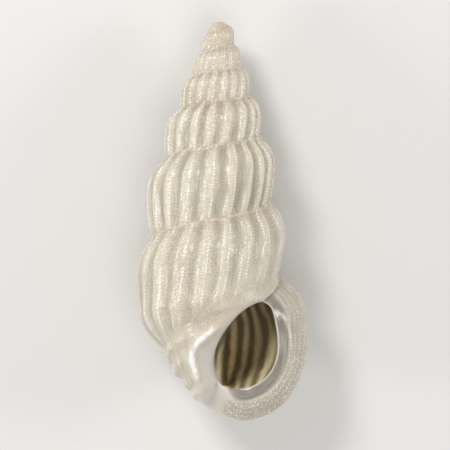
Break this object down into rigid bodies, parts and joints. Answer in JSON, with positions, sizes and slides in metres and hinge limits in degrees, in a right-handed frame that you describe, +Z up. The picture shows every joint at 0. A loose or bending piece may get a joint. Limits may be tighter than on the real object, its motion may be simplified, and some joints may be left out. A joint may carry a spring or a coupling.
{
  "type": "turreted sea snail shell",
  "caption": "Tall spired micro snail shell with axial ribs, rounded whorls and a hollow mouth with a thick flared lip, lying on its back.",
  "frame": {"origin": "centre of the footprint box, on the surface the shell lies on", "axes": "+Z up and out of the mouth, +Y along the spire towards its tip, +X to the side of the mouth"},
  "size_m": [0.002, 0.0044, 0.0016],
  "materials": {
    "shell": "satin, slightly translucent, glossier on the lip"
  },
  "bodies": {
    "root": {"shell": "shell"}
  },
  "joints": []
}
